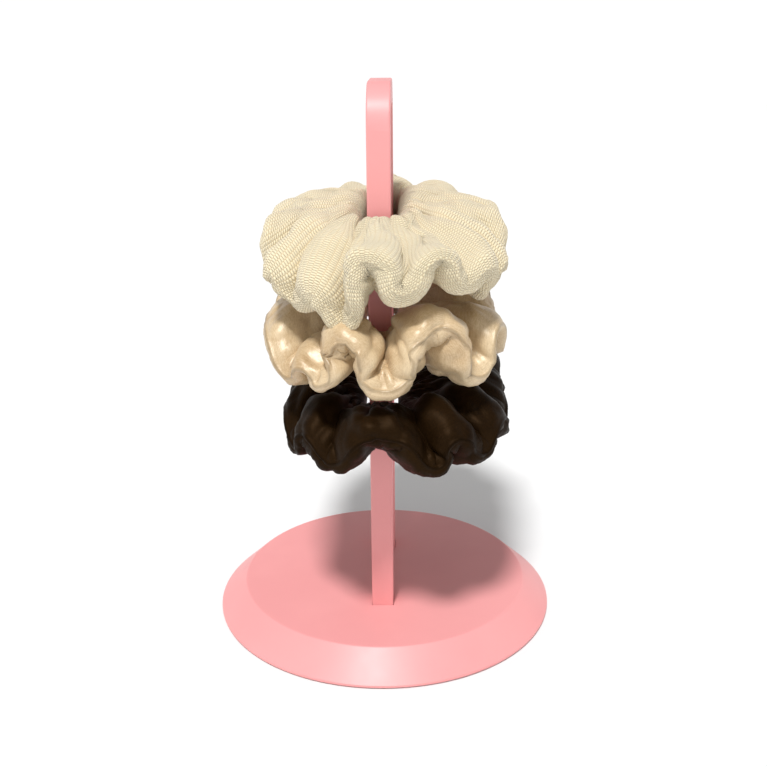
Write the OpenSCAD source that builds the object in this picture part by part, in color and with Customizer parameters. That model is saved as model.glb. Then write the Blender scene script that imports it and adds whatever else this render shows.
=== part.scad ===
// Countertop holder for hair ties: a weighted round base, an upright hoop, and the
// three gathered hair ties that it carries. The ties slide up and off over the hoop.
// Origin: centre of the base on the surface it stands on, +Z up.
// The hoop lies in the YZ plane, and its front leg is at -Y.

/* [Base] */
// Diameter of the base where it meets the table
base_d = 130; // [110:1:160]
// Diameter of the flat top of the base
base_top_d = 110; // [90:1:130]
// Thickness of the base
base_h = 10; // [9:0.5:14]
// Upright land under the sloping rim
rim_land = 0.8; // [0.4:0.1:2]
// Rounding where the slope meets the flat top
rim_r = 1.2; // [0.4:0.1:3]

/* [Hoop] */
// Width of the hoop's bar, seen from the front
bar_w = 8; // [7:0.5:10]
// Thickness of the hoop's bar, from outer to inner face
bar_t = 8; // [7:0.5:10]
// Outer width of the hoop, from front leg to rear leg
hoop_depth = 54; // [44:1:64]
// Outer radius of the two bends at the top
bend_r = 15; // [12:0.5:20]
// Height of the whole holder above the table
stand_h = 200; // [180:1:240]
// Rounding along the bar's edges
bar_edge_r = 0.6; // [0.3:0.1:1.2]
// Depth of the sockets that the legs stand in
socket_depth = 5; // [4:0.5:6]
// Gap round a leg in its socket
socket_gap = 0.12; // [0.05:0.01:0.3]

/* [Screws] */
// Diameter of the screw that holds each leg
screw_d = 3; // [2.5:0.1:3.5]
// Length of the screw under its head
screw_l = 12; // [10:0.5:16]
// Diameter of the screw's head
head_d = 5.6; // [5:0.1:6.5]
// Height of the screw's head
head_h = 1.8; // [1.4:0.1:2.2]

/* [Feet] */
// Number of rubber feet
foot_count = 4; // [3:1:6]
// Diameter of a rubber foot
foot_d = 12; // [8:0.5:14]
// Thickness of a rubber foot
foot_t = 2; // [1.5:0.1:3]
// How far a foot stands out of the base
foot_proud = 0.6; // [0.4:0.1:1]
// Diameter of the circle that the feet stand on
foot_circle_d = 104; // [90:1:108]

/* [Hair ties] */
// Least gap between the hoop's legs and a tie
tie_gap = 0.4; // [0.3:0.05:1]
// Cloth between the hoop and the elastic
casing_wall = 1.2; // [1:0.1:2]
// Height of the elastic band
elastic_h = 6; // [5:0.5:7]
// Thickness of the elastic band
elastic_t = 1; // [0.8:0.1:1.4]
// Gap round the elastic in its casing
elastic_gap = 0.3; // [0.2:0.05:0.4]
// Free height between two ties that rest on each other
stack_gap = 0.4; // [0.3:0.1:2]
// How far a puff's tip swings up or down from its neighbour
tip_swing = 2; // [0:0.25:3]
// Free height between the table and the lowest tie
lowest_tie_z = 70; // [20:1:80]

/* [Cream tie] */
// Height of the cream tie
cream_h = 37; // [26:1:40]
// How far its puffs reach out at the sides
cream_side = 38.5; // [28:0.5:44]
// How far its puffs reach out over the legs
cream_end = 28; // [20:0.5:34]
// How far the cream tie sits off centre, to the right
cream_lean = 2.5; // [-6:0.5:6]
// Number of puffs round the cream tie
cream_puffs = 11; // [7:1:12]
// How far its casing sits above its middle
cream_lift = 5; // [0:0.5:6]

/* [Champagne tie] */
// Height of the champagne tie
champagne_h = 28.5; // [24:0.5:40]
// How far its puffs reach out at the sides
champagne_side = 37; // [28:0.5:44]
// How far its puffs reach out over the legs
champagne_end = 27; // [20:0.5:34]
// How far the champagne tie sits off centre, to the right
champagne_lean = 1; // [-6:0.5:6]
// Number of puffs round the champagne tie
champagne_puffs = 9; // [7:1:12]
// How far its casing sits above its middle
champagne_lift = 1; // [0:0.5:4]

/* [Brown tie] */
// Height of the brown tie
brown_h = 29; // [24:0.5:40]
// How far its puffs reach out at the sides
brown_side = 35.5; // [28:0.5:44]
// How far its puffs reach out over the legs
brown_end = 25; // [20:0.5:34]
// How far the brown tie sits off centre, to the right
brown_lean = 6; // [-6:0.5:8]
// Number of puffs round the brown tie
brown_puffs = 9; // [7:1:12]
// How far its casing sits above its middle
brown_lift = 1; // [0:0.5:4]

/* [Hidden] */
$fn = 64;
eps = 0.01;
base_z = foot_proud;
base_top = base_z + base_h;
leg_y = hoop_depth / 2 - bar_t / 2;
leg_foot = base_top - socket_depth;
bend_mid_r = bend_r - bar_t / 2;
bend_y = hoop_depth / 2 - bend_r;
bend_z = stand_h - bend_r;
head_room = 0.4;
sink_depth = head_h + head_room;
foot_room = 0.2;

// A tie's bore is a slot with round ends that clears the outer corners of both legs
bore_cy = leg_y;
bore_r = norm([bar_w / 2, bar_t / 2]) + tie_gap;
// Middle of the puffs, where neighbouring stations are spaced evenly
even_r = bore_r + 14;
casing_half = elastic_h / 2 + elastic_gap + casing_wall;
steps_per_puff = 6;

brown_z = lowest_tie_z + brown_h / 2;
champagne_z = brown_z + brown_h / 2 + stack_gap + champagne_h / 2;
cream_z = champagne_z + champagne_h / 2 + stack_gap + cream_h / 2;

// Square with rounded corners, the section of the hoop's bar
module bar_section(w, t) {
    square([w - 2 * bar_edge_r, t], center = true);
    square([w, t - 2 * bar_edge_r], center = true);
    for (x = [-1, 1], y = [-1, 1])
        translate([x * (w / 2 - bar_edge_r), y * (t / 2 - bar_edge_r)])
            circle(bar_edge_r);
}

// One copy at each leg, front and rear
module at_legs() {
    for (side = [-1, 1])
        translate([0, side * leg_y, 0])
            children();
}

module at_feet() {
    for (i = [0:foot_count - 1])
        rotate(45 + i * 360 / foot_count)
            translate([foot_circle_d / 2, 0, 0])
                children();
}

// Half outline of the base, with the rim rounded into the flat top
module base_profile() {
    slope = atan2(base_h - rim_land, (base_d - base_top_d) / 2);
    back = rim_r * tan(slope / 2);
    rim = [for (a = [0:slope / 5:slope])
        [base_top_d / 2 - back + rim_r * sin(a), base_h - rim_r * (1 - cos(a))]];
    polygon(concat([[0, 0], [0, base_h]], rim, [[base_d / 2, rim_land], [base_d / 2, 0]]));
}

module base() {
    color("#f7a9a6")
        translate([0, 0, base_z])
            difference() {
                rotate_extrude($fn = 128)
                    base_profile();
                at_legs() {
                    translate([0, 0, base_h - socket_depth / 2 + eps / 2])
                        cube([bar_w + 2 * socket_gap, bar_t + 2 * socket_gap,
                            socket_depth + eps], center = true);
                    translate([0, 0, -eps])
                        cylinder(d = screw_d + 0.4, h = base_h);
                    translate([0, 0, -eps])
                        cylinder(d = head_d + 2 * head_room, h = sink_depth + eps);
                }
                at_feet()
                    translate([0, 0, -eps])
                        cylinder(d = foot_d + 2 * foot_room, h = foot_t - foot_proud + eps);
            }
}

// An upside-down U: two legs, two quarter bends and the cross bar between them
module hoop() {
    color("#f5a39f")
        difference() {
            union() {
                at_legs()
                    translate([0, 0, leg_foot])
                        linear_extrude(bend_z - leg_foot)
                            bar_section(bar_w, bar_t);
                for (flip = [0, 1])
                    mirror([0, flip, 0])
                        translate([0, bend_y, bend_z])
                            rotate([90, 0, 90])
                                rotate_extrude(angle = 90, $fn = 96)
                                    translate([bend_mid_r, 0])
                                        bar_section(bar_t, bar_w);
                translate([0, bend_y, stand_h - bar_t / 2])
                    rotate([90, 0, 0])
                        linear_extrude(2 * bend_y)
                            bar_section(bar_w, bar_t);
            }
            at_legs()
                translate([0, 0, leg_foot - eps])
                    cylinder(d = screw_d + 0.1, h = screw_l, $fn = 32);
        }
}

// Self-tapping pan head screw with a cross recess, driven up through the base
module screw() {
    tip = screw_d / 2;
    recess = [head_d * 0.55, 0.7, head_h * 0.6];
    difference() {
        union() {
            cylinder(d1 = head_d - 0.8, d2 = head_d, h = 0.4, $fn = 32);
            translate([0, 0, 0.4])
                cylinder(d = head_d, h = head_h - 0.4, $fn = 32);
            translate([0, 0, head_h])
                cylinder(d = screw_d, h = screw_l - tip, $fn = 32);
            translate([0, 0, head_h + screw_l - tip])
                cylinder(d1 = screw_d, d2 = screw_d / 3, h = tip, $fn = 32);
        }
        for (turn = [0, 90])
            rotate(turn)
                translate([0, 0, recess.z / 2 - eps])
                    cube(recess, center = true);
    }
}

module hoop_screws() {
    color("silver")
        at_legs()
            translate([0, 0, base_z + sink_depth - head_h])
                screw();
}

module rubber_feet() {
    soft_edge = 0.4;
    color("#4a4442")
        at_feet() {
            cylinder(d1 = foot_d - 2 * soft_edge, d2 = foot_d, h = soft_edge, $fn = 48);
            translate([0, 0, soft_edge])
                cylinder(d = foot_d, h = foot_t - soft_edge, $fn = 48);
        }
}

// Where a point u (0 to 1) of the way round a tie lies: the centre that its spoke
// starts from, and the spoke's direction. It starts in front and runs to the right.
function spoke(u) =
    let (quarter = PI * even_r / 2,
        run = 2 * bore_cy,
        lap = 4 * quarter + 2 * run,
        s = u * lap)
    s < quarter ? [-bore_cy, -90 + 90 * s / quarter] :
    s < quarter + run ? [s - quarter - bore_cy, 0] :
    s < 3 * quarter + run ? [bore_cy, 90 * (s - quarter - run) / quarter] :
    s < 3 * quarter + 2 * run ? [bore_cy - (s - 3 * quarter - run), 180] :
    [-bore_cy, 180 + 90 * (s - 3 * quarter - 2 * run) / quarter];

// Section of a tie from casing to tip: share of the reach, and share of the height
upper_edge = [[0, 0], [0.14, 0.45], [0.36, 0.86], [0.62, 1], [0.86, 0.72]];
section = concat([for (p = upper_edge) [p[0], p[1], 1]], [[1, 0, 1]],
    [for (i = [len(upper_edge) - 1:-1:0]) [upper_edge[i][0], upper_edge[i][1], -1]]);

// Fullness of the cloth at u: 0 in the crease between two puffs, 1 on a puff's crown
function fullness(u, puffs) = pow(abs(sin(180 * puffs * u)), 0.7);

// Slow difference between one side of a tie and another, -1 to 1
function drift(u, puffs) = sin(720 * u + 40 * puffs);

function cover_point(u, p, h, side, end, lean, puffs, lift) =
    let (at = spoke(u),
        full = fullness(u, puffs),
        reach = (side * pow(cos(at[1]), 2) + end * pow(sin(at[1]), 2))
            * (0.82 + 0.14 * full + 0.04 * drift(u, puffs)) + lean * cos(at[1]),
        r = bore_r + reach * p[0],
        crown = (h / 2 - tip_swing * 0.62) * (0.8 + 0.2 * full),
        half = casing_half + (crown - casing_half) * p[1],
        edge = p[0] == 1 ? 0 : p[2] * half,
        swing = tip_swing * p[0] * sin(180 * puffs * u + 60))
    [r * cos(at[1]), at[0] + r * sin(at[1]), edge + swing + lift * (1 - p[0])];

// Gathered cloth tube, closed on itself, with a casing that holds the elastic
module cover(h, side, end, lean, puffs, lift) {
    n = puffs * steps_per_puff;
    m = len(section);
    points = [for (i = [0:n - 1], p = section)
        cover_point(i / n, p, h, side, end, lean, puffs, lift)];
    faces = [for (i = [0:n - 1], j = [0:m - 1], half = [0, 1])
        let (a = i * m + j,
            b = i * m + (j + 1) % m,
            c = ((i + 1) % n) * m + (j + 1) % m,
            d = ((i + 1) % n) * m + j)
        half == 0 ? [a, b, c] : [a, c, d]];
    difference() {
        polyhedron(points, faces);
        translate([0, 0, lift])
            slot_ring(bore_r + casing_wall, elastic_t + 2 * elastic_gap,
                elastic_h + 2 * elastic_gap);
    }
}

module slot_plate(r) {
    square([2 * r, 2 * bore_cy], center = true);
    for (side = [-1, 1])
        translate([0, side * bore_cy])
            circle(r);
}

// Upright band of thickness t and height h that runs round both legs
module slot_ring(r, t, h) {
    linear_extrude(h, center = true)
        difference() {
            slot_plate(r + t);
            slot_plate(r);
        }
}

module elastic(lift) {
    translate([0, 0, lift])
        slot_ring(bore_r + casing_wall + elastic_gap, elastic_t, elastic_h);
}

module cream_cover() {
    color("#e6dcc0")
        translate([0, 0, cream_z])
            cover(cream_h, cream_side, cream_end, cream_lean, cream_puffs, cream_lift);
}

module cream_elastic() {
    color("#efe9dc")
        translate([0, 0, cream_z])
            elastic(cream_lift);
}

module champagne_cover() {
    color("#dfc49b")
        translate([0, 0, champagne_z])
            cover(champagne_h, champagne_side, champagne_end, champagne_lean,
                champagne_puffs, champagne_lift);
}

module champagne_elastic() {
    color("#e8dcc8")
        translate([0, 0, champagne_z])
            elastic(champagne_lift);
}

module brown_cover() {
    color("#3a2712")
        translate([0, 0, brown_z])
            cover(brown_h, brown_side, brown_end, brown_lean, brown_puffs, brown_lift);
}

module brown_elastic() {
    color("#2b2622")
        translate([0, 0, brown_z])
            elastic(brown_lift);
}

base();
hoop();
hoop_screws();
rubber_feet();
cream_cover();
cream_elastic();
champagne_cover();
champagne_elastic();
brown_cover();
brown_elastic();
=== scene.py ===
import math
import random
import time

import bpy
import numpy as np
from mathutils import Matrix, Vector


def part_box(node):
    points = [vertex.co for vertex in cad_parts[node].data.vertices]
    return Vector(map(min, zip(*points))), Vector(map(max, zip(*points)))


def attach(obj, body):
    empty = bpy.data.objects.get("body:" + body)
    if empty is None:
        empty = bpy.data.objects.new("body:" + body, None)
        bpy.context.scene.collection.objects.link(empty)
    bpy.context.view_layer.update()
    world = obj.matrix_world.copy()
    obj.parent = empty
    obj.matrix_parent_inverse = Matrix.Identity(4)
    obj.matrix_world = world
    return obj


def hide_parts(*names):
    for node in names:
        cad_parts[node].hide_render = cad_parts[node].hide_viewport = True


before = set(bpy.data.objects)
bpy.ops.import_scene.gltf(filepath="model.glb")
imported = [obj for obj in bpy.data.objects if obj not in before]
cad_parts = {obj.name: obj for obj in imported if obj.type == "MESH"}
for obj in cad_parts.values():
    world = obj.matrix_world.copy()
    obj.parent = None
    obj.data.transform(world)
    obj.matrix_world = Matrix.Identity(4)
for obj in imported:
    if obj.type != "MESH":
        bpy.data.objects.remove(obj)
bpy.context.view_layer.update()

# Holder for hair ties: pink base and hoop from the CAD model, three gathered fabric ties made here.
# Sizes are in millimetres in the settings and in metres in Blender.

mm = 0.001
scene = bpy.context.scene
scene.view_settings.view_transform = "Standard"
startTime = time.time()


def tell(stage):
    print(f"[{time.time() - startTime:6.1f} s] {stage}", flush=True)


# Camera: where the photograph was taken from

cameraSettings = {
    "imageSide": 767,       # pixels
    "focal": 1033.1,        # pixels
    "sensor": 36.0,
    "place": (10.0, -368.94, 215.73),
    "turn": 1.507,          # degrees to the left
    "down": 18.855,         # degrees
    "roll": -0.525,         # degrees
}


def makeCamera(c):
    turn, down, roll = (math.radians(c[k]) for k in ("turn", "down", "roll"))
    turned = Matrix.Rotation(turn, 3, "Z")
    ahead = turned @ Vector((0, math.cos(down), -math.sin(down)))
    right = turned @ Vector((1, 0, 0))
    up = right.cross(ahead)
    across = right * math.cos(roll) + up * math.sin(roll)
    upright = up * math.cos(roll) - right * math.sin(roll)
    camera = bpy.data.objects.new("camera", bpy.data.cameras.new("camera"))
    camera.data.sensor_width = c["sensor"]
    camera.data.lens = c["sensor"] * c["focal"] / c["imageSide"]
    camera.data.clip_start, camera.data.clip_end = 0.01, 20
    facing = Matrix((across, upright, -ahead)).transposed().to_4x4()
    camera.matrix_world = Matrix.Translation(Vector(c["place"]) * mm) @ facing
    scene.collection.objects.link(camera)
    scene.camera = camera


makeCamera(cameraSettings)
tell("camera")


# Shader writing: Wire is a socket that takes part in Python sums, Paint is a material that makes nodes

class Wire:
    def __init__(self, paint, socket):
        self.paint, self.socket = paint, socket

    def sum(self, operation, *values):
        return self.paint.add("ShaderNodeMath", {"operation": operation}, dict(enumerate(values)))

    def __add__(self, other):
        return self.sum("ADD", self, other)

    def __sub__(self, other):
        return self.sum("SUBTRACT", self, other)

    def __rsub__(self, other):
        return self.sum("SUBTRACT", other, self)

    def __mul__(self, other):
        return self.sum("MULTIPLY", self, other)

    def __pow__(self, other):
        return self.sum("POWER", self, other)

    __radd__, __rmul__ = __add__, __mul__

    def part(self):
        return self.sum("FRACT", self)

    def whole(self):
        return self.sum("FLOOR", self)

    def arch(self):  # 0 at whole numbers, 1 half way between them
        return self.sum("ABSOLUTE", self.sum("SINE", self * math.pi))

    def ramp(self, low, high):  # 0 below low, 1 above high, smooth between
        return self.paint.add("ShaderNodeMapRange", {"interpolation_type": "SMOOTHSTEP"},
                              {"Value": self, "From Min": low, "From Max": high})


class Paint:
    def __init__(self, name):
        self.material = bpy.data.materials.new(name)
        self.material.use_nodes = True
        self.tree = self.material.node_tree
        self.tree.nodes.clear()

    def add(self, kind, settings=None, sockets=None, out=0):  # settings are set before the sockets
        node = self.tree.nodes.new(kind)
        for key, value in (settings or {}).items():
            setattr(node, key, value)
        for key, value in (sockets or {}).items():
            if isinstance(value, Wire):
                self.tree.links.new(value.socket, node.inputs[key])
            else:
                node.inputs[key].default_value = value
        return Wire(self, node.outputs[out]) if node.outputs else node

    def place(self):
        return self.add("ShaderNodeTexCoord", out="Object")

    def split(self, vector):  # its x, y and z
        node = self.add("ShaderNodeSeparateXYZ", {}, {"Vector": vector}).socket.node
        return [Wire(self, socket) for socket in node.outputs]

    def cloth(self):  # share of the way along the cloth, and across it
        return self.split(self.add("ShaderNodeUVMap", {"uv_map": "cloth"}))[:2]

    def stretch(self, vector, scale):
        return self.add("ShaderNodeVectorMath", {"operation": "MULTIPLY"}, {0: vector, 1: scale})

    def join(self, x, y, z=0.0):
        return self.add("ShaderNodeCombineXYZ", {}, {"X": x, "Y": y, "Z": z})

    def noise(self, vector, scale, detail=2.0, rough=0.5):
        return self.add("ShaderNodeTexNoise", {},
                        {"Vector": vector, "Scale": scale, "Detail": detail, "Roughness": rough})

    def mix(self, share, low, high):
        low, high = (v if isinstance(v, Wire) else (*v, 1) for v in (low, high))
        return self.add("ShaderNodeMix", {"data_type": "RGBA", "clamp_factor": True},
                        {"Factor": share, 6: low, 7: high}, out=2)

    def finish(self, colour, rough, height=None, depth=0.0, strength=1.0, **fixed):
        sockets = {"Base Color": colour, "Roughness": rough, **fixed}
        if height is not None:
            sockets["Normal"] = self.add("ShaderNodeBump", {},
                                         {"Height": height, "Distance": depth, "Strength": strength})
        shader = self.add("ShaderNodeBsdfPrincipled", {}, sockets)
        self.add("ShaderNodeOutputMaterial", {}, {"Surface": shader})
        return self.material


pinkSettings = {
    "deep": (0.80, 0.318, 0.318),
    "light": (0.845, 0.352, 0.350),
    "roughness": 0.42,
    "cloud": 28,            # patches per metre, of colour
    "flow": 160,            # of roughness
    "grain": 1400,
    "grainDepth": 0.00002,  # metres, as every depth of a bump
}


def pinkPlastic(name, c):
    p = Paint(name)
    place = p.place()
    cloud = p.noise(place, c["cloud"], 3)
    grain = p.noise(place, c["grain"], 3, 0.6)
    flow = p.noise(place, c["flow"], 2)
    colour = p.mix(cloud.ramp(0.3, 0.7) * 0.7 + grain * 0.3, c["deep"], c["light"])
    rough = c["roughness"] - 0.05 + flow * 0.08 + grain * 0.03
    return p.finish(colour, rough, grain * 0.7 + flow * 0.3, c["grainDepth"], 0.5,
                    **{"Specular IOR Level": 0.4})


metalSettings = {
    "colour": (0.62, 0.62, 0.60),
    "dull": (0.42, 0.42, 0.41),
    "roughness": 0.28,
    "blotch": 900,          # dull spots per metre
    "lines": 1500,          # tool marks per metre
    "lineDepth": 0.00003,
}


def zincSteel(name, c):
    p = Paint(name)
    place = p.place()
    blotch = p.noise(place, c["blotch"], 3, 0.6)
    lines = p.noise(p.stretch(place, (1, 1, 12)), c["lines"], 2)
    colour = p.mix(blotch.ramp(0.35, 0.7), c["colour"], c["dull"])
    return p.finish(colour, c["roughness"] + 0.18 * blotch, lines, c["lineDepth"], 0.6, Metallic=1.0)


rubberSettings = {
    "colour": (0.045, 0.040, 0.038),
    "worn": (0.085, 0.078, 0.074),
    "roughness": 0.78,
    "grain": 2600,          # per metre
    "grainDepth": 0.00006,
    "dust": 240,
}


def footRubber(name, c):
    p = Paint(name)
    place = p.place()
    grain = p.noise(place, c["grain"], 3, 0.7)
    dust = p.noise(place, c["dust"], 3)
    colour = p.mix(dust.ramp(0.45, 0.75), c["colour"], c["worn"])
    return p.finish(colour, c["roughness"] + 0.1 * dust, grain, c["grainDepth"], 0.7)


elasticSettings = {
    # gap is a painted shade colour for the low places between the braid's threads
    "white": {"thread": (0.80, 0.78, 0.73), "gap": (0.52, 0.49, 0.43)},
    "black": {"thread": (0.030, 0.026, 0.024), "gap": (0.008, 0.007, 0.007)},
    "threads": 1250,        # ribs per metre of height
    "picks": 900,           # crossings per metre of length
    "fuzz": 5200,
    "depth": 0.00018,
    "roughness": 0.72,
}


def braidedElastic(name, shade, c):
    p = Paint(name)
    place = p.place()
    along, height = p.split(place)[1:]
    row = height * c["threads"]
    braid = row.arch() * 0.6 + (along * c["picks"] + (row.whole() * 0.5).part()).arch() * 0.4
    fuzz = p.noise(place, c["fuzz"], 2)
    # painted shade: the colour darkens towards gap where the braid's height is low
    colour = p.mix(braid.ramp(0.2, 0.8), c[shade]["gap"], c[shade]["thread"])
    return p.finish(colour, c["roughness"] + 0.1 * fuzz, braid + fuzz * 0.2, c["depth"], 1.0)


knitSettings = {
    "light": (0.850, 0.750, 0.520),
    # deep is the painted shade colour of the grooves between stitches
    "deep": (0.620, 0.455, 0.235),
    "stitchPitch": 1.10,    # along the tie
    "rowPitch": 0.85,       # across the tie
    "stitchDepth": 0.00045,
    "roughness": 0.86,
    "fuzz": 4200,           # per metre
    "tone": 75,
}


def creamKnit(name, c, cover):  # rows of beads, each row half a bead along from the last, with painted shade in the grooves between them
    p = Paint(name)
    along, across = p.cloth()
    wander = p.noise(p.join(along * 60, across * 9), 1.0, 2) - 0.5
    column = along * (2 * round(cover["length"] / c["stitchPitch"] / 2)) + wander * 0.25
    row = across * round(cover["girth"] / c["rowPitch"]) + (column.whole() * 0.5).part() + wander * 0.3
    rib = column.arch() ** 0.8
    bead = row.arch() ** 0.7
    fuzz = p.noise(p.place(), c["fuzz"], 3, 0.65)
    stitch = bead * (0.35 + 0.65 * rib) + fuzz * 0.2
    tone = p.noise(p.place(), c["tone"], 3)
    # painted shade: the colour goes from light to deep where the stitch height is low, darkening the grooves
    # between beads
    colour = p.mix(stitch.ramp(0.1, 0.7) * 0.85 + tone * 0.15, c["deep"], c["light"])
    return p.finish(colour, c["roughness"] + fuzz * 0.08, stitch, c["stitchDepth"], 1.0,
                    **{"Sheen Weight": 0.35, "Sheen Roughness": 0.6, "Specular IOR Level": 0.25})


champagneSettings = {
    "light": (0.730, 0.585, 0.380),
    "deep": (0.410, 0.265, 0.130),
    "lip": (0.760, 0.620, 0.440),
    "roughness": 0.33,
    "sheen": 0.05,
    "gloss": 0.85,
    "tint": (1.0, 0.95, 0.85),
    "threads": 3.0,         # per millimetre, as fine streaks
    "threadDepth": 0.00017,
    "tone": 60,             # patches per metre
}

brownSettings = {
    "light": (0.017, 0.0080, 0.0024),
    "deep": (0.004, 0.0016, 0.0005),
    "lip": (0.022, 0.011, 0.0035),
    "roughness": 0.46,
    "sheen": 0.0,
    "gloss": 0.10,
    "tint": (1.0, 0.62, 0.34),
    "threads": 3.0,
    "threadDepth": 0.00017,
    "tone": 60,
}


def fineSatin(name, c, cover):  # streaks both ways, painted shade along the seam groove and the lip beyond it
    p = Paint(name)
    along, across = p.cloth()
    length, girth, fine = cover["length"], cover["girth"], c["threads"]
    threads = p.noise(p.join(along * length * 0.7, across * girth * fine), 1.0, 2, 0.6)
    picks = p.noise(p.join(along * length * fine, across * girth * 0.9), 1.0, 2, 0.6)
    weave = threads * 0.6 + picks * 0.4
    tone = p.noise(p.place(), c["tone"], 3)
    colour = p.mix(tone.ramp(0.3, 0.7) * 0.5 + weave.ramp(0.3, 0.7) * 0.5, c["deep"], c["light"])
    fromSeam = across * girth - (girth / 2 + cover["seamAt"])
    lip = fromSeam.ramp(0.2, 0.6) - fromSeam.ramp(cover["lipWide"] - 0.5, cover["lipWide"])
    # painted shade: a darker band of the cloth's deep colour along the seam groove
    seamShade = fromSeam.ramp(-0.55, -0.1) - fromSeam.ramp(0.0, 0.45)
    seamShadeColour = tuple(v * 0.45 for v in c["deep"])
    colour = p.mix(seamShade * 0.5, p.mix(lip * 0.15, colour, c["lip"]), seamShadeColour)
    rough = c["roughness"] - 0.06 + weave * 0.16 + lip * 0.2
    return p.finish(colour, rough, weave + tone * 0.1, c["threadDepth"], 0.85,
                    **{"Sheen Weight": c["sheen"], "Sheen Roughness": 0.35,
                       "Specular IOR Level": c["gloss"], "Specular Tint": (*c["tint"], 1)})


def repaint(nodeName, material):
    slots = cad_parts[nodeName].data.materials
    slots.clear()
    slots.append(material)


repaint("base", pinkPlastic("pinkBase", pinkSettings))
repaint("hoop", pinkPlastic("pinkHoop", pinkSettings))
repaint("hoop_screws", zincSteel("zincSteel", metalSettings))
repaint("rubber_feet", footRubber("footRubber", rubberSettings))
whiteBraid = braidedElastic("whiteBraid", "white", elasticSettings)
repaint("cream_elastic", whiteBraid)
repaint("champagne_elastic", whiteBraid)
repaint("brown_elastic", braidedElastic("blackBraid", "black", elasticSettings))
tell("stand finishes")


# Hair ties: cloth tubes that a rule draws together on their elastic, and a short simulation settles

legLow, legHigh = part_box("hoop")
legHalf = 4.0               # half the bar's width
legCentre = (legHigh.y - legLow.y) / 2 / mm - legHalf  # middle of a leg, from the hoop's middle
boreRadius = 6.4            # inner face of a tie, round each leg
simScale = 20.0             # cloth moves better when it is simulated large

clothSettings = {
    "casing": 4.2,          # half height of the band that lies on the elastic
    "guide": 8.2,           # half height where the cloth leaves the elastic
    "leastReach": 10.0,     # of the outer edge from the bore, where a wave is high
    "levelShare": 0.08,     # how far out the cloth stays level with the elastic, as a share of the way
    "bandShare": 0.32,      # how far out the band still lifts it
    "bandFade": 0.22,       # and over which share that fades
    "rows": 160,            # points across the tube while it is shaped
    "thickness": 0.6,       # of the fabric
    "alongFine": 560,       # faces along the finished cloth
    "rowPitch": 1.5,        # between its rows
    "deepest": -1.5,        # how far gathers and creases go in
    "highest": 1.1,         # and out
    "grooveWide": 0.45,     # of the seam
    "lipHigh": 0.1,         # beside it
}

simSettings = {
    "frames": 8,
    "quickFrames": 2,
    "quality": 4,
    "mass": 0.15,
    "drag": 3,
    "stretch": 60,
    "squeeze": 100,
    "shear": 10,
    "bending": 1.0,
    "damping": 10,
    "bendingDamping": 1,
    "gravity": 0.02,        # share of the real one
    "gap": 0.65,            # between two layers of the same tie
    "nearTie": 0.012,       # gap to other things, at the scale of the simulation
    "nearLeg": 0.01,
    "tries": 2,             # to clear a collision, per step
    "friction": 5,
    "selfFriction": 3,
}

brownTie = {                # sizes in millimetres; the other ties have the same keys
    "name": "brownSatinCloth", "node": "brown_cover", "elastic": "brown_elastic",
    "body": "brown_tie", "slot": "brown_satin", "stitches": "brownClosingStitches",
    "thread": (0.045, 0.022, 0.008),
    "flat": (92, 465),      # the cloth before it is sewn
    "girth": 84, "length": 450,     # what the rows, the seam and the weave are measured by
    "around": 220, "across": 32,    # points in the simulation
    "width": 36.0,          # from the bore to the outer edge
    "level": 0.0,           # mean height of that edge over the elastic
    "lean": 6.0,            # of the edge to the right
    "hem": [(-62, 4), (-47, -7), (-38, 2), (-26, -7), (-4, 9), (15, -7), (23, 4), (33, -7), (48, 4),
            (62, -4)],      # where the edge turns in front: along it from the middle, and up
    "spacing": (14.0, 20.0), "wave": (5.0, 8.0), "seed": 11,    # the turns behind are drawn from these
    "edge": 5.0, "round": 1.0, "thin": 0.5,     # half thickness of the tube, and its form
    "rise": 0.6,            # lower starts the waves nearer the elastic
    "calm": 8,              # higher spreads the gathers more evenly on the elastic
    "puff": 4.0,            # fills the tube between two waves
    "crown": (3.0, 2.0, 2.0),       # lifts the upper layer in front, at the sides and behind
    "belly": (-3.0, -2.0, 3.0),     # lowers the under layer there
    "peak": 0.9,            # higher moves both nearer the outer edge
    "pressure": 0.5,
    "soften": 0, "swell": 0.0,      # even out crumples after the simulation
    "pleats": 46, "pleatDepth": 1.1, "pleatEdge": 0.6, "creaseDepth": 0.9,
    "seamAt": 0.2,          # beyond the outer edge, on the under layer
    "lipWide": 2.0, "seamDepth": 0.45,
}

champagneTie = {
    "name": "champagneSatinCloth", "node": "champagne_cover", "elastic": "champagne_elastic",
    "body": "champagne_tie", "slot": "champagne_satin", "stitches": "champagneClosingStitches",
    "thread": (0.58, 0.41, 0.22),
    "flat": (91, 496), "girth": 84, "length": 450, "around": 220, "across": 32,
    "width": 37.0, "level": 1.0, "lean": 1.5,
    "hem": [(-60, 4), (-40, -8), (-30, -2), (-23, -8), (-15, 13), (3, -12), (19, 17), (38, -10), (54, 8),
            (68, -4)],
    "spacing": (14.0, 20.0), "wave": (4.0, 7.0), "seed": 4,
    "edge": 5.0, "round": 1.0, "thin": 0.5, "rise": 0.6, "calm": 8, "puff": 4.0,
    "crown": (0.0, 4.0, 7.0), "belly": (-3.0, -3.0, 0.0), "peak": 0.9,
    "pressure": 0.5, "soften": 0, "swell": 0.0,
    "pleats": 46, "pleatDepth": 1.2, "pleatEdge": 0.6, "creaseDepth": 0.75,
    "seamAt": 0.2, "lipWide": 2.0, "seamDepth": 0.5,
}

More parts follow.
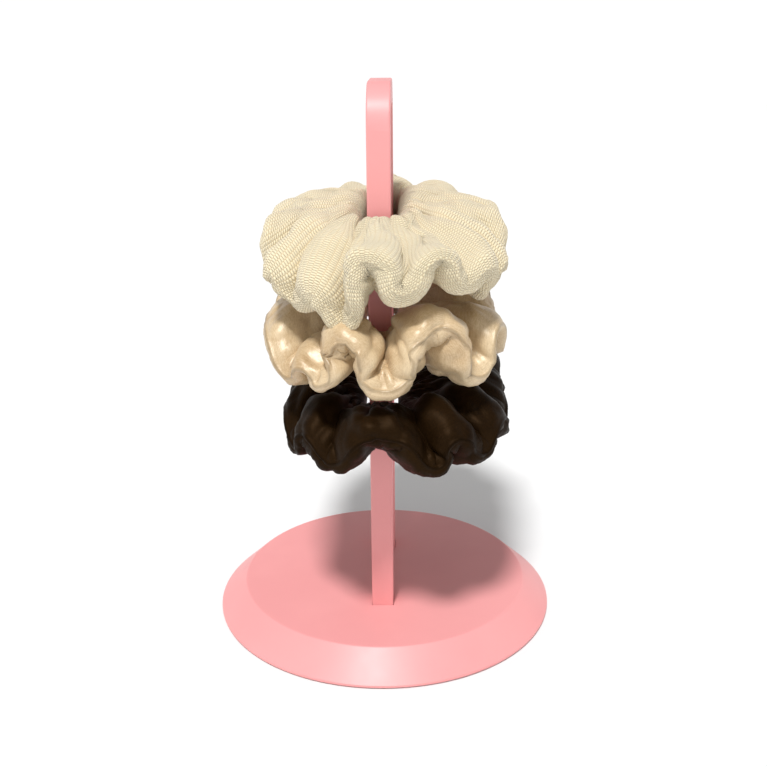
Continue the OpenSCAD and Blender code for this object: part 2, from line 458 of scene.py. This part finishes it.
creamTie = {
    "name": "creamKnitCloth", "node": "cream_cover", "elastic": "cream_elastic",
    "body": "cream_tie", "slot": "cream_knit", "stitches": "creamClosingStitches",
    "thread": (0.72, 0.58, 0.34),
    "flat": (95, 575), "girth": 88, "length": 500, "around": 240, "across": 34,
    "width": 38.5, "level": -9.0, "lean": 2.0,
    "hem": [(-64, -20), (-50, -8), (-38, -21), (-28, -9), (-17, -22), (-3, 4), (9, -13), (21, 0), (31, -11),
            (42, -4), (55, -20), (67, -9)],
    "spacing": (12.0, 16.0), "wave": (5.0, 8.0), "seed": 5,
    "edge": 5.5, "round": 0.3, "thin": 0.4, "rise": 0.55, "calm": 6, "puff": 5.0,
    "crown": (-4.0, 0.0, 1.0), "belly": (1.0, 1.0, 2.0), "peak": 1.2,
    "pressure": 5.0, "soften": 2, "swell": 0.2,
    "pleats": 40, "pleatDepth": 1.3, "pleatEdge": 0.8, "creaseDepth": 0.75,
    "seamAt": 0.6, "lipWide": 2.4, "seamDepth": 0.25,
}


def slotPlace(share, reach):  # centre's y and the outward angle, share of the way round both legs
    quarter, run = math.pi * reach / 2, 2 * legCentre
    s = (share % 1.0) * (4 * quarter + 2 * run)
    if s < quarter:
        return -legCentre, -90 + 90 * s / quarter
    if s < quarter + run:
        return s - quarter - legCentre, 0.0
    if s < 3 * quarter + run:
        return legCentre, 90 * (s - quarter - run) / quarter
    if s < 3 * quarter + 2 * run:
        return legCentre - (s - 3 * quarter - run), 180.0
    return -legCentre, 180 + 90 * (s - 3 * quarter - 2 * run) / quarter


def blendRound(angle, values):  # a value in front, at the sides and behind, for a direction in degrees
    front, side, rear = values
    square = math.sin(math.radians(angle)) ** 2
    return side * (1 - square) + (front if angle % 360 > 180 else rear) * square


def meander(run, climb, count=48):  # an S between two turning points of the hem, as steps along and up
    x = (np.arange(count) + 0.5) / count
    low, high = 0.0, 2.1    # bounds of the steepest angle on the way, in radians
    for n in range(30):
        bend = (low + high) / 2
        swing = bend * np.sin(np.pi * x)
        if np.sin(swing).mean() * run < abs(climb) * np.cos(swing).mean():
            low = bend
        else:
            high = bend
    length = run / np.cos(swing).mean()
    return np.cos(swing) * length / count, np.copysign(np.sin(swing) * length / count, climb)


def hemLine(c):  # lap and length of the outer edge, and its places and heights for even steps of cloth
    draw = random.Random(c["seed"])
    lap = 2 * math.pi * (boreRadius + c["width"]) + 4 * legCentre
    marks = list(c["hem"])
    end, sign = marks[0][0] + lap, -math.copysign(1, marks[-1][1] - marks[-2][1])
    while end - marks[-1][0] > 1.6 * c["spacing"][0]:
        place = marks[-1][0] + draw.uniform(*c["spacing"])
        marks.append((place, c["level"] + sign * draw.uniform(*c["wave"])))
        sign = -sign
    marks.append((end, marks[0][1]))
    along, up = [], []
    for (x0, z0), (x1, z1) in zip(marks, marks[1:]):
        dx, dz = meander(x1 - x0, z1 - z0)
        along.append(dx)
        up.append(dz)
    along, up = np.concatenate(along), np.concatenate(up)
    steps = np.hypot(along, up)
    at = np.concatenate([[0], np.cumsum(steps)])
    places = np.concatenate([[0], np.cumsum(along)]) + marks[0][0]
    heights = np.concatenate([[0], np.cumsum(up)]) + marks[0][1]
    even = np.arange(c["around"]) / c["around"] * at[-1]
    return lap, at[-1], np.interp(even, at, places), np.interp(even, at, heights)


def evened(line, count):  # a closed row of points, evenly spaced from its first point
    closed = np.concatenate([line, line[:1]])
    at = np.concatenate([[0], np.cumsum(np.linalg.norm(np.diff(closed, axis=0), axis=1))])
    even = np.arange(count) / count * at[-1]
    return np.stack([np.interp(even, at, closed[:, k]) for k in range(3)], 1), at[-1]


def rolling(values, count):  # running mean round a closed row
    return sum(np.roll(values, n) for n in range(-count, count + 1)) / (2 * count + 1)


def middleSurface(c, casingZ, hem, share, side):  # half way between the tube's two layers
    lap, length, hemPlace, hemHeight = hem
    even = np.arange(c["around"]) / c["around"] * lap
    rootPlace = even + rolling(rolling(hemPlace - even, c["calm"]), c["calm"])
    middle = np.zeros((c["around"], len(share), 3))
    level = clothSettings["levelShare"]
    for i in range(c["around"]):
        reach = math.sqrt(max(c["width"] ** 2 - hemHeight[i] ** 2, clothSettings["leastReach"] ** 2))
        swing = hemHeight[i] - c["level"]
        fill = c["puff"] * max(1 - (swing / c["wave"][1]) ** 2, 0)
        for j, t in enumerate(share):
            place = rootPlace[i] + (hemPlace[i] - rootPlace[i]) * t ** 1.6
            r = boreRadius + reach * t
            y, angle = slotPlace(place / lap, r)
            ca, sa = math.cos(math.radians(angle)), math.sin(math.radians(angle))
            free = max(t - level, 0) / (1 - level)
            z = c["level"] * free ** 1.2 + swing * free ** c["rise"]
            z += side[j] * fill * math.sin(math.pi * t ** 0.8)
            middle[i, j] = (r * ca + c["lean"] * t, y + r * sa, casingZ + z)
    return middle


def gatheredShape(c, casingZ):  # the tie's cloth as it is drawn up on its elastic, before it settles
    count = clothSettings["rows"]
    turn = 2 * np.pi * np.arange(count) / count
    share = 0.5 - 0.5 * np.cos(turn)    # 0 at the elastic, 1 at the outer edge
    side = np.sign(np.sin(turn))        # 1 on the upper layer, -1 on the under one
    hem = hemLine(c)
    middle = middleSurface(c, casingZ, hem, share, side)
    normal = np.cross(np.roll(middle, -1, 0) - np.roll(middle, 1, 0), np.gradient(middle, axis=1))
    normal *= np.where(side < 0, 1, -1)[None, :, None]
    normal[:, count // 2] = normal[:, count // 2 - 1]
    normal /= np.maximum(np.linalg.norm(normal, axis=2, keepdims=True), 1e-9)
    thick = c["edge"] * (4 * share * (1 - share)) ** c["round"] * np.clip(share / c["thin"], 0, 1)
    bulge = np.sin(np.pi * share ** c["peak"])
    lap, length, hemPlace, hemHeight = hem
    ways = [slotPlace(place / lap, boreRadius + c["width"])[1] for place in hemPlace]
    crown, belly = (np.array([[blendRound(way, c[key])] for way in ways]) for key in ("crown", "belly"))
    lift = np.where(side > 0, crown, belly) * bulge
    band = np.clip((clothSettings["bandShare"] - share) / clothSettings["bandFade"], 0, 1)
    band = clothSettings["casing"] * band * np.clip(share / 0.004, 0, 1)
    shape = middle + normal * (side * thick)[None, :, None]
    shape[:, :, 2] += side * (lift + band[None, :])
    rows = [evened(row, c["across"]) for row in shape]
    tell(f"{c['name']}: drawn edge {length:.0f} mm, girth {np.mean([r[1] for r in rows]):.0f} mm")
    return np.stack([r[0] for r in rows])


def gridFaces(around, across):  # quads of a grid that closes both ways
    i, j = (x.ravel() for x in np.meshgrid(range(around), range(across), indexing="ij"))
    nextI, nextJ = (i + 1) % around, (j + 1) % across
    return np.stack([i * across + j, nextI * across + j, nextI * across + nextJ, i * across + nextJ], 1)


def meshObject(name, points, faces, edges=()):
    mesh = bpy.data.meshes.new(name)
    mesh.from_pydata([tuple(p) for p in points], edges, [tuple(f) for f in faces])
    thing = bpy.data.objects.new(name, mesh)
    scene.collection.objects.link(thing)
    return thing


def addCollision(thing, thickness):
    thing.modifiers.new("collision", "COLLISION")
    thing.collision.thickness_outer = thickness
    thing.collision.cloth_friction = simSettings["friction"]


def legCollider(side):  # a straight block where the leg in front, -1, or behind, 1, stands
    middle = side * legCentre
    corners = [(x, y, z) for x in (-legHalf, legHalf) for y in (middle - legHalf, middle + legHalf)
               for z in (0.0, legHigh.z / mm)]
    faces = [(0, 1, 3, 2), (4, 6, 7, 5), (0, 4, 5, 1), (2, 3, 7, 6), (0, 2, 6, 4), (1, 5, 7, 3)]
    leg = meshObject(f"legCollider{side}", np.array(corners) * mm * simScale, faces)
    addCollision(leg, simSettings["nearLeg"])
    return leg


def fromElastic(c):  # cloth between each point across the tube and the elastic, in millimetres
    points = np.arange(c["across"])
    return np.minimum(points, c["across"] - points) * c["girth"] / c["across"]


def gatherTie(c, frames):  # shapes and simulates one tie, and returns its cloth as a grid of points
    low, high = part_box(c["elastic"])
    gathered = gatheredShape(c, (low.z + high.z) / 2 / mm)
    heldRows = np.flatnonzero(fromElastic(c) <= clothSettings["guide"])
    held = [i * c["across"] + j for i in range(c["around"]) for j in heldRows]
    scale = mm * simScale
    tie = meshObject(c["name"] + "Sim", gathered.reshape(-1, 3) * scale, gridFaces(c["around"], c["across"]))
    group = tie.vertex_groups.new(name="held")
    group.add([int(n) for n in held], 1.0, "REPLACE")
    cloth = tie.modifiers.new("cloth", "CLOTH")
    s, k, given = cloth.settings, cloth.collision_settings, simSettings
    s.quality, s.mass, s.air_damping = given["quality"], given["mass"], given["drag"]
    s.tension_stiffness, s.compression_stiffness = given["stretch"], given["squeeze"]
    s.shear_stiffness, s.bending_stiffness = given["shear"], given["bending"]
    s.tension_damping = s.compression_damping = s.shear_damping = given["damping"]
    s.bending_damping = given["bendingDamping"]
    s.vertex_group_mass = "held"
    s.use_pressure, s.uniform_pressure_force = True, c["pressure"]
    s.effector_weights.gravity = given["gravity"]
    k.use_collision, k.distance_min, k.collision_quality = True, given["nearTie"], given["tries"]
    k.use_self_collision, k.self_friction = True, given["selfFriction"]
    k.self_distance_min = given["gap"] * scale
    cloth.point_cache.frame_start, cloth.point_cache.frame_end = 1, frames
    for n in range(1, frames + 1):
        scene.frame_set(n)
    done = bpy.data.meshes.new_from_object(tie.evaluated_get(bpy.context.evaluated_depsgraph_get()))
    points = np.zeros(len(done.vertices) * 3)
    done.vertices.foreach_get("co", points)
    bpy.data.meshes.remove(done)
    bpy.data.objects.remove(tie)
    scene.frame_set(1)
    return points.reshape(c["around"], c["across"], 3) / scale


def smoothAlong(grid, places, axis):  # uniform cubic spline through a closed row of points
    count = grid.shape[axis]
    first = np.floor(places).astype(int)
    t = (places - first).reshape([-1 if a == axis else 1 for a in range(3)])
    weights = ((1 - t) ** 3 / 6, (3 * t ** 3 - 6 * t ** 2 + 4) / 6,
               (-3 * t ** 3 + 3 * t ** 2 + 3 * t + 1) / 6, t ** 3 / 6)
    return sum(w * np.take(grid, (first - 1 + n) % count, axis) for n, w in enumerate(weights))


def outward(grid):  # unit normals of a grid that closes both ways
    alongWay = np.roll(grid, -1, 0) - np.roll(grid, 1, 0)
    acrossWay = np.roll(grid, -1, 1) - np.roll(grid, 1, 1)
    normal = np.cross(alongWay, acrossWay)
    return normal / np.maximum(np.linalg.norm(normal, axis=2, keepdims=True), 1e-9)


def acrossRows(c):  # places across the finished cloth in millimetres, closer together at the seam
    girth, seam = c["girth"], c["girth"] / 2 + c["seamAt"]
    even = [r for r in np.arange(0, girth, clothSettings["rowPitch"]) if abs(r - seam) > 1.2]
    return np.array(sorted(even + [seam + d for d in (-0.8, -0.4, 0, 0.4, 0.8)]))


def softened(c, grid):  # evens out small crumples, but leaves the band on the elastic
    share = 0.5 * np.clip((fromElastic(c) - clothSettings["guide"]) / 3, 0, 1)[None, :, None]
    for n in range(c["soften"]):
        mean = sum(np.roll(grid, way, axis) for way in (-1, 1) for axis in (0, 1)) / 4
        grid = grid + share * (mean - grid)
    return grid + 2 * share * c["swell"] * outward(grid)


def pleats(c, count):  # uneven fine gathers along the tie
    draw = np.random.default_rng(c["seed"])
    widths, marks = draw.uniform(0.7, 1.4, c["pleats"]), np.arange(c["pleats"] + 1)
    starts = np.concatenate([[0], np.cumsum(widths)]) / widths.sum()
    phase = np.interp(np.arange(count) / count, starts, marks)
    depth = np.interp(phase, marks, np.append(draw.uniform(0.6, 1.3, c["pleats"]), 1))
    wave = np.abs(np.sin(np.pi * phase)) ** c["pleatEdge"]
    return c["pleatDepth"] * depth * (wave - 0.6)


def creases(c, along, rows):  # shallow wandering folds over the whole cloth, the same at both its ends
    draw = np.random.default_rng(c["seed"] + 7)
    a, b = 2 * np.pi * along[:, None], 2 * np.pi * rows[None, :] / c["girth"]
    fold = np.zeros((len(along), len(rows)))
    for n in range(7):
        waves, turns = draw.integers(9, 34), draw.integers(-3, 4)
        size = draw.uniform(0.4, 1.1)
        bent = size * np.sin(draw.integers(2, 7) * a + draw.integers(1, 3) * b + draw.uniform(0, 6))
        fold += 0.5 - np.abs(np.sin(waves * a + turns * b + 2 * bent + draw.uniform(0, 6))) ** 0.7
    return c["creaseDepth"] * fold / 2


stitchSettings = {
    "pitch": 2.4,           # from one stitch to the next
    "length": 1.7,          # of the thread that shows
    "radius": 0.24,         # of the thread
    "slant": 0.45,          # across the seam, as a share of the way along it
    "lift": 0.15,           # of the thread's middle over the cloth
    "grain": 3500,          # twist of the thread, per metre
    "from": 0.16,           # first stitch, as a share of the way from the elastic to the outer edge
    "past": 12.0,           # last one, beyond that edge
}


def stitchNodes():  # small threads in a row along any line
    tree = bpy.data.node_groups.new("stitchRow", "GeometryNodeTree")
    face = tree.interface
    face.new_socket(name="Line", in_out="INPUT", socket_type="NodeSocketGeometry")
    for name in ("Pitch", "Length", "Radius", "Slant"):
        face.new_socket(name=name, in_out="INPUT", socket_type="NodeSocketFloat")
    face.new_socket(name="Thread", in_out="INPUT", socket_type="NodeSocketMaterial")
    face.new_socket(name="Stitches", in_out="OUTPUT", socket_type="NodeSocketGeometry")

    def add(kind, inputs=(), **options):
        node = tree.nodes.new(kind)
        for key, value in options.items():
            setattr(node, key, value)
        for key, value in dict(inputs).items():
            if isinstance(value, bpy.types.NodeSocket):
                tree.links.new(value, node.inputs[key])
            else:
                node.inputs[key].default_value = value
        return node

    given = add("NodeGroupInput").outputs
    line = add("GeometryNodeMeshToCurve", {"Mesh": given["Line"]}).outputs[0]
    row = add("GeometryNodeResampleCurve", {"Curve": line, "Length": given["Pitch"]},
              mode="LENGTH").outputs[0]
    half = add("ShaderNodeMath", {0: given["Length"], 1: 0.5}, operation="MULTIPLY").outputs[0]
    size = add("ShaderNodeCombineXYZ", {"X": given["Radius"], "Y": given["Radius"], "Z": half}).outputs[0]
    bead = add("GeometryNodeMeshUVSphere", {"Segments": 8, "Rings": 8, "Radius": 1.0}).outputs[0]
    thread = add("GeometryNodeTransform", {"Geometry": bead, "Scale": size}).outputs[0]
    tangent = add("GeometryNodeInputTangent").outputs[0]
    lean = add("ShaderNodeCombineXYZ", {"X": given["Slant"]}).outputs[0]
    aim = add("ShaderNodeVectorMath", {0: tangent, 1: lean}, operation="ADD").outputs[0]
    turned = add("FunctionNodeAlignRotationToVector", {"Vector": aim}, axis="Z").outputs[0]
    placed = add("GeometryNodeInstanceOnPoints",
                 {"Points": row, "Instance": thread, "Rotation": turned}).outputs[0]
    whole = add("GeometryNodeRealizeInstances", {"Geometry": placed}).outputs[0]
    painted = add("GeometryNodeSetMaterial", {"Geometry": whole, "Material": given["Thread"]}).outputs[0]
    add("NodeGroupOutput", {"Stitches": painted})
    return tree


stitchRow = stitchNodes()


def sewingThread(name, colour, grain):
    p = Paint(name)
    twist = p.noise(p.place(), grain, 2)
    return p.finish(p.mix(twist, tuple(v * 0.8 for v in colour), colour), 0.6 + 0.1 * twist)


def closeSeam(c, line, sewn):  # the row of hand stitches that closes the tube behind
    draft = meshObject("draftLine", line * mm, [], [(n, n + 1) for n in range(len(line) - 1)])
    row = draft.modifiers.new("stitches", "NODES")
    row.node_group = stitchRow
    given = {"Pitch": sewn["pitch"] * mm, "Length": sewn["length"] * mm, "Radius": sewn["radius"] * mm,
             "Slant": sewn["slant"], "Thread": sewingThread(c["body"] + "Thread", c["thread"], sewn["grain"])}
    for item in stitchRow.interface.items_tree:
        if item.in_out == "INPUT" and item.name in given:
            row[item.identifier] = given[item.name]
    mesh = bpy.data.meshes.new_from_object(draft.evaluated_get(bpy.context.evaluated_depsgraph_get()))
    bpy.data.objects.remove(draft)
    stitches = bpy.data.objects.new(c["stitches"], mesh)
    scene.collection.objects.link(stitches)
    mesh.polygons.foreach_set("use_smooth", [True] * len(mesh.polygons))
    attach(stitches, c["body"])
    return stitches


def edgeShare(c, rows):  # 0 at the elastic, 1 at the outer edge
    return np.minimum(rows, c["girth"] - rows) / (c["girth"] / 2)


def refined(c, grid, rows, along):  # the simulated cloth on a finer grid, with its gathers and its seam
    fine = smoothAlong(softened(c, grid), rows / c["girth"] * c["across"], 1)
    fine = smoothAlong(fine, along * c["around"], 0)
    rise, fromSeam = edgeShare(c, rows), rows - (c["girth"] / 2 + c["seamAt"])
    groove = -c["seamDepth"] * np.exp(-(fromSeam / clothSettings["grooveWide"]) ** 2)
    lip = clothSettings["lipHigh"] * np.sin(np.pi * np.clip(fromSeam / c["lipWide"], 0, 1))
    fade = np.clip((rise - 0.13) / 0.08, 0, 1) * np.clip((0.8 - rise) / 0.55, 0, 1)  # for the gathers
    loose = np.clip((rise - 0.16) / 0.1, 0, 1) * np.clip((1 - rise) / 0.08, 0.2, 1)  # for the creases
    relief = pleats(c, len(along))[:, None] * fade + creases(c, along, rows) * loose
    relief = np.clip(relief, clothSettings["deepest"], clothSettings["highest"])
    fine = fine + outward(fine) * (relief + groove + lip)[:, :, None]
    edgeRun = np.linalg.norm(np.roll(fine, -1, 0) - fine, axis=2).sum(0).max()
    girthRun = np.linalg.norm(np.roll(fine, -1, 1) - fine, axis=2).sum(1).mean()
    tell(f"{c['name']}: finished edge {edgeRun:.0f} mm, girth {girthRun:.0f} mm")
    return fine


def markPlaces(mesh, faces, acrossShares, alongCount):  # gives each face its place along and across the cloth
    shares = np.zeros((len(faces), 4, 2))
    i, j = np.divmod(faces[:, 0], len(acrossShares))
    ends = np.append(acrossShares, 1.0)
    shares[:, (0, 3), 0], shares[:, (1, 2), 0] = (i / alongCount)[:, None], ((i + 1) / alongCount)[:, None]
    shares[:, (0, 1), 1], shares[:, (2, 3), 1] = ends[j][:, None], ends[j + 1][:, None]
    mesh.uv_layers.new(name="cloth").data.foreach_set("uv", shares.ravel())


def closingLine(c, fine, rows, sewn):  # over the outside of the cloth, at the furthest place behind
    closing = np.argmax(fine[:, :, 1].max(axis=1))
    outer = np.flatnonzero((edgeShare(c, rows) > sewn["from"]) & (rows < c["girth"] / 2 + sewn["past"]))
    return fine[closing, outer] + sewn["lift"] * outward(fine)[closing, outer]


def finishCloth(c, grid, material):
    rows, alongCount = acrossRows(c), clothSettings["alongFine"]
    fine = refined(c, grid, rows, np.arange(alongCount) / alongCount)
    faces = gridFaces(alongCount, len(rows))
    thing = meshObject(c["name"], fine.reshape(-1, 3) * mm, faces)
    mesh = thing.data
    markPlaces(mesh, faces, rows / c["girth"], alongCount)
    mesh.polygons.foreach_set("use_smooth", [True] * len(faces))
    mesh.materials.append(material)
    wall = thing.modifiers.new("fabric", "SOLIDIFY")
    wall.thickness, wall.offset = clothSettings["thickness"] * mm, -1
    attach(thing, c["body"])
    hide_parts(c["node"])
    stitches = closeSeam(c, closingLine(c, fine, rows, stitchSettings), stitchSettings)
    tuple(side * mm for side in c["flat"])


ties = [  # from below, because each lies on the one before
    (brownTie, fineSatin("brownSatin", brownSettings, brownTie)),
    (champagneTie, fineSatin("champagneSatin", champagneSettings, champagneTie)),
    (creamTie, creamKnit("creamKnit", knitSettings, creamTie)),
]

colliders = [legCollider(side) for side in (-1, 1)]
for c, material in ties:
    grid = gatherTie(c, simSettings["frames"])
    tell(f"{c['name']} from {grid.min(axis=(0, 1)).round(1)} to {grid.max(axis=(0, 1)).round(1)}")
    finishCloth(c, grid, material)
    block = meshObject(c["name"] + "Collider", grid.reshape(-1, 3) * mm * simScale,
                       gridFaces(c["around"], c["across"]))
    addCollision(block, simSettings["nearTie"])
    colliders.append(block)
for thing in colliders:
    bpy.data.objects.remove(thing)
tell("ties finished")


# Floor and light

floorSettings = {
    "radius": 3.0,          # metres
    "sides": 96,
    "colour": (0.86, 0.86, 0.86),
    "speck": 90,            # per metre
}

lightSettings = {
    "sunStrength": 3.0,
    "sunAngle": 9.0,        # degrees
    "sunTilt": (-28.0, -7.0),       # degrees; the shadow falls behind and to the right
    "skyHorizon": 1.05,
    "skyTop": 0.40,
    "skyBand": (0.05, 0.45),        # from the horizon's strength to the top's
}


def makeFloor(c):
    angles = [2 * math.pi * n / c["sides"] for n in range(c["sides"])]
    rim = [(c["radius"] * math.cos(a), c["radius"] * math.sin(a), 0) for a in angles]
    faces = [(0, n + 1, (n + 1) % c["sides"] + 1) for n in range(c["sides"])]
    floor = meshObject("floor", [(0, 0, 0)] + rim, faces)
    p = Paint("paleFloor")
    speck = p.noise(p.place(), c["speck"], 3)
    shade = tuple(v * 0.985 for v in c["colour"])
    floor.data.materials.append(p.finish(p.mix(speck, shade, c["colour"]), 0.6 + 0.1 * speck))


def makeLights(c):
    sun = bpy.data.lights.new("keyLight", "SUN")
    sun.energy, sun.angle = c["sunStrength"], math.radians(c["sunAngle"])
    lamp = bpy.data.objects.new("keyLight", sun)
    tiltBack, tiltSide = (math.radians(a) for a in c["sunTilt"])
    ray = Vector((-math.tan(tiltSide), -math.tan(tiltBack), -1))
    lamp.rotation_euler = ray.to_track_quat("-Z", "Y").to_euler()
    lamp.location = (-0.2, -0.4, 1.2)
    scene.collection.objects.link(lamp)
    world = bpy.data.worlds.new("studio")
    scene.world = world
    world.use_nodes = True
    tree = world.node_tree
    place = tree.nodes.new("ShaderNodeTexCoord")
    split = tree.nodes.new("ShaderNodeSeparateXYZ")
    tree.links.new(place.outputs["Generated"], split.inputs[0])
    sky = tree.nodes.new("ShaderNodeMapRange")
    low, high = c["skyBand"]
    ends = {"From Min": low, "From Max": high, "To Min": c["skyHorizon"], "To Max": c["skyTop"]}
    for key, value in ends.items():
        sky.inputs[key].default_value = value
    tree.links.new(split.outputs["Z"], sky.inputs["Value"])
    tree.links.new(sky.outputs[0], tree.nodes["Background"].inputs["Strength"])
    tree.nodes["Background"].inputs["Color"].default_value = (1, 1, 1, 1)


makeFloor(floorSettings)
makeLights(lightSettings)
tell("floor and light")

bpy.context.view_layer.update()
tell("done")
